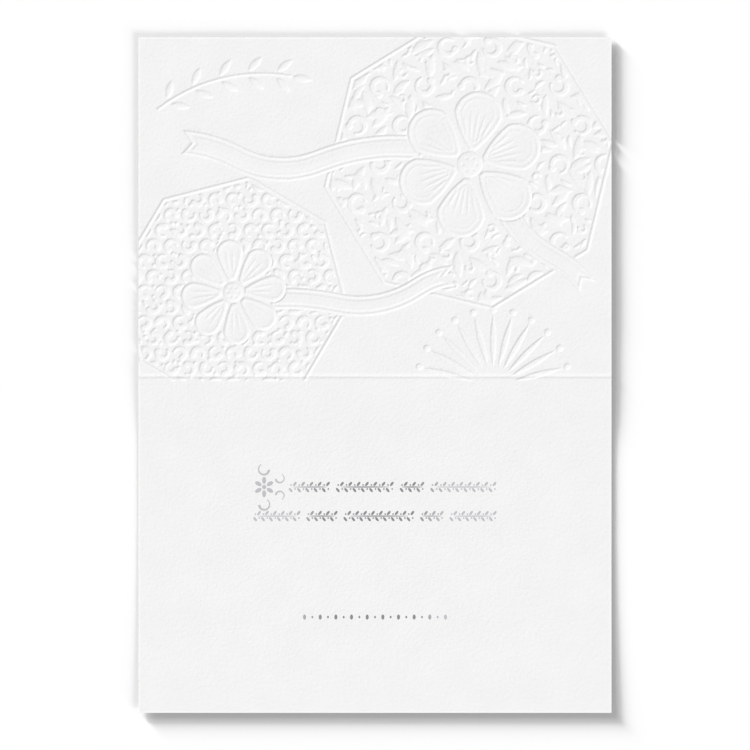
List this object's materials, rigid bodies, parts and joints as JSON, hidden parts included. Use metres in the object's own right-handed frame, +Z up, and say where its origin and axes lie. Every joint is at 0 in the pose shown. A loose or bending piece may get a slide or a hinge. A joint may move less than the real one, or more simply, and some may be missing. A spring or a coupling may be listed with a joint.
{
  "type": "greeting card",
  "caption": "Top-fold card of heavy white stock, lying open inside up, with a floral blind-embossed cover and silver foil sprigs on the lower panel.",
  "frame": {"origin": "on the table surface, under the middle of the open card", "axes": "+X along the crease to the right, +Y from the back panel's free edge to the front panel's, +Z up from the table out of the inner faces"},
  "size_m": [0.2, 0.2856, 0.0013],
  "materials": {
    "white_card_stock": "uncoated felt-finish cover stock, matt",
    "silver_foil": "satin silver hot-stamped foil"
  },
  "bodies": {
    "root": {"folded_card": "white_card_stock", "foil_ornament": "silver_foil"}
  },
  "joints": []
}
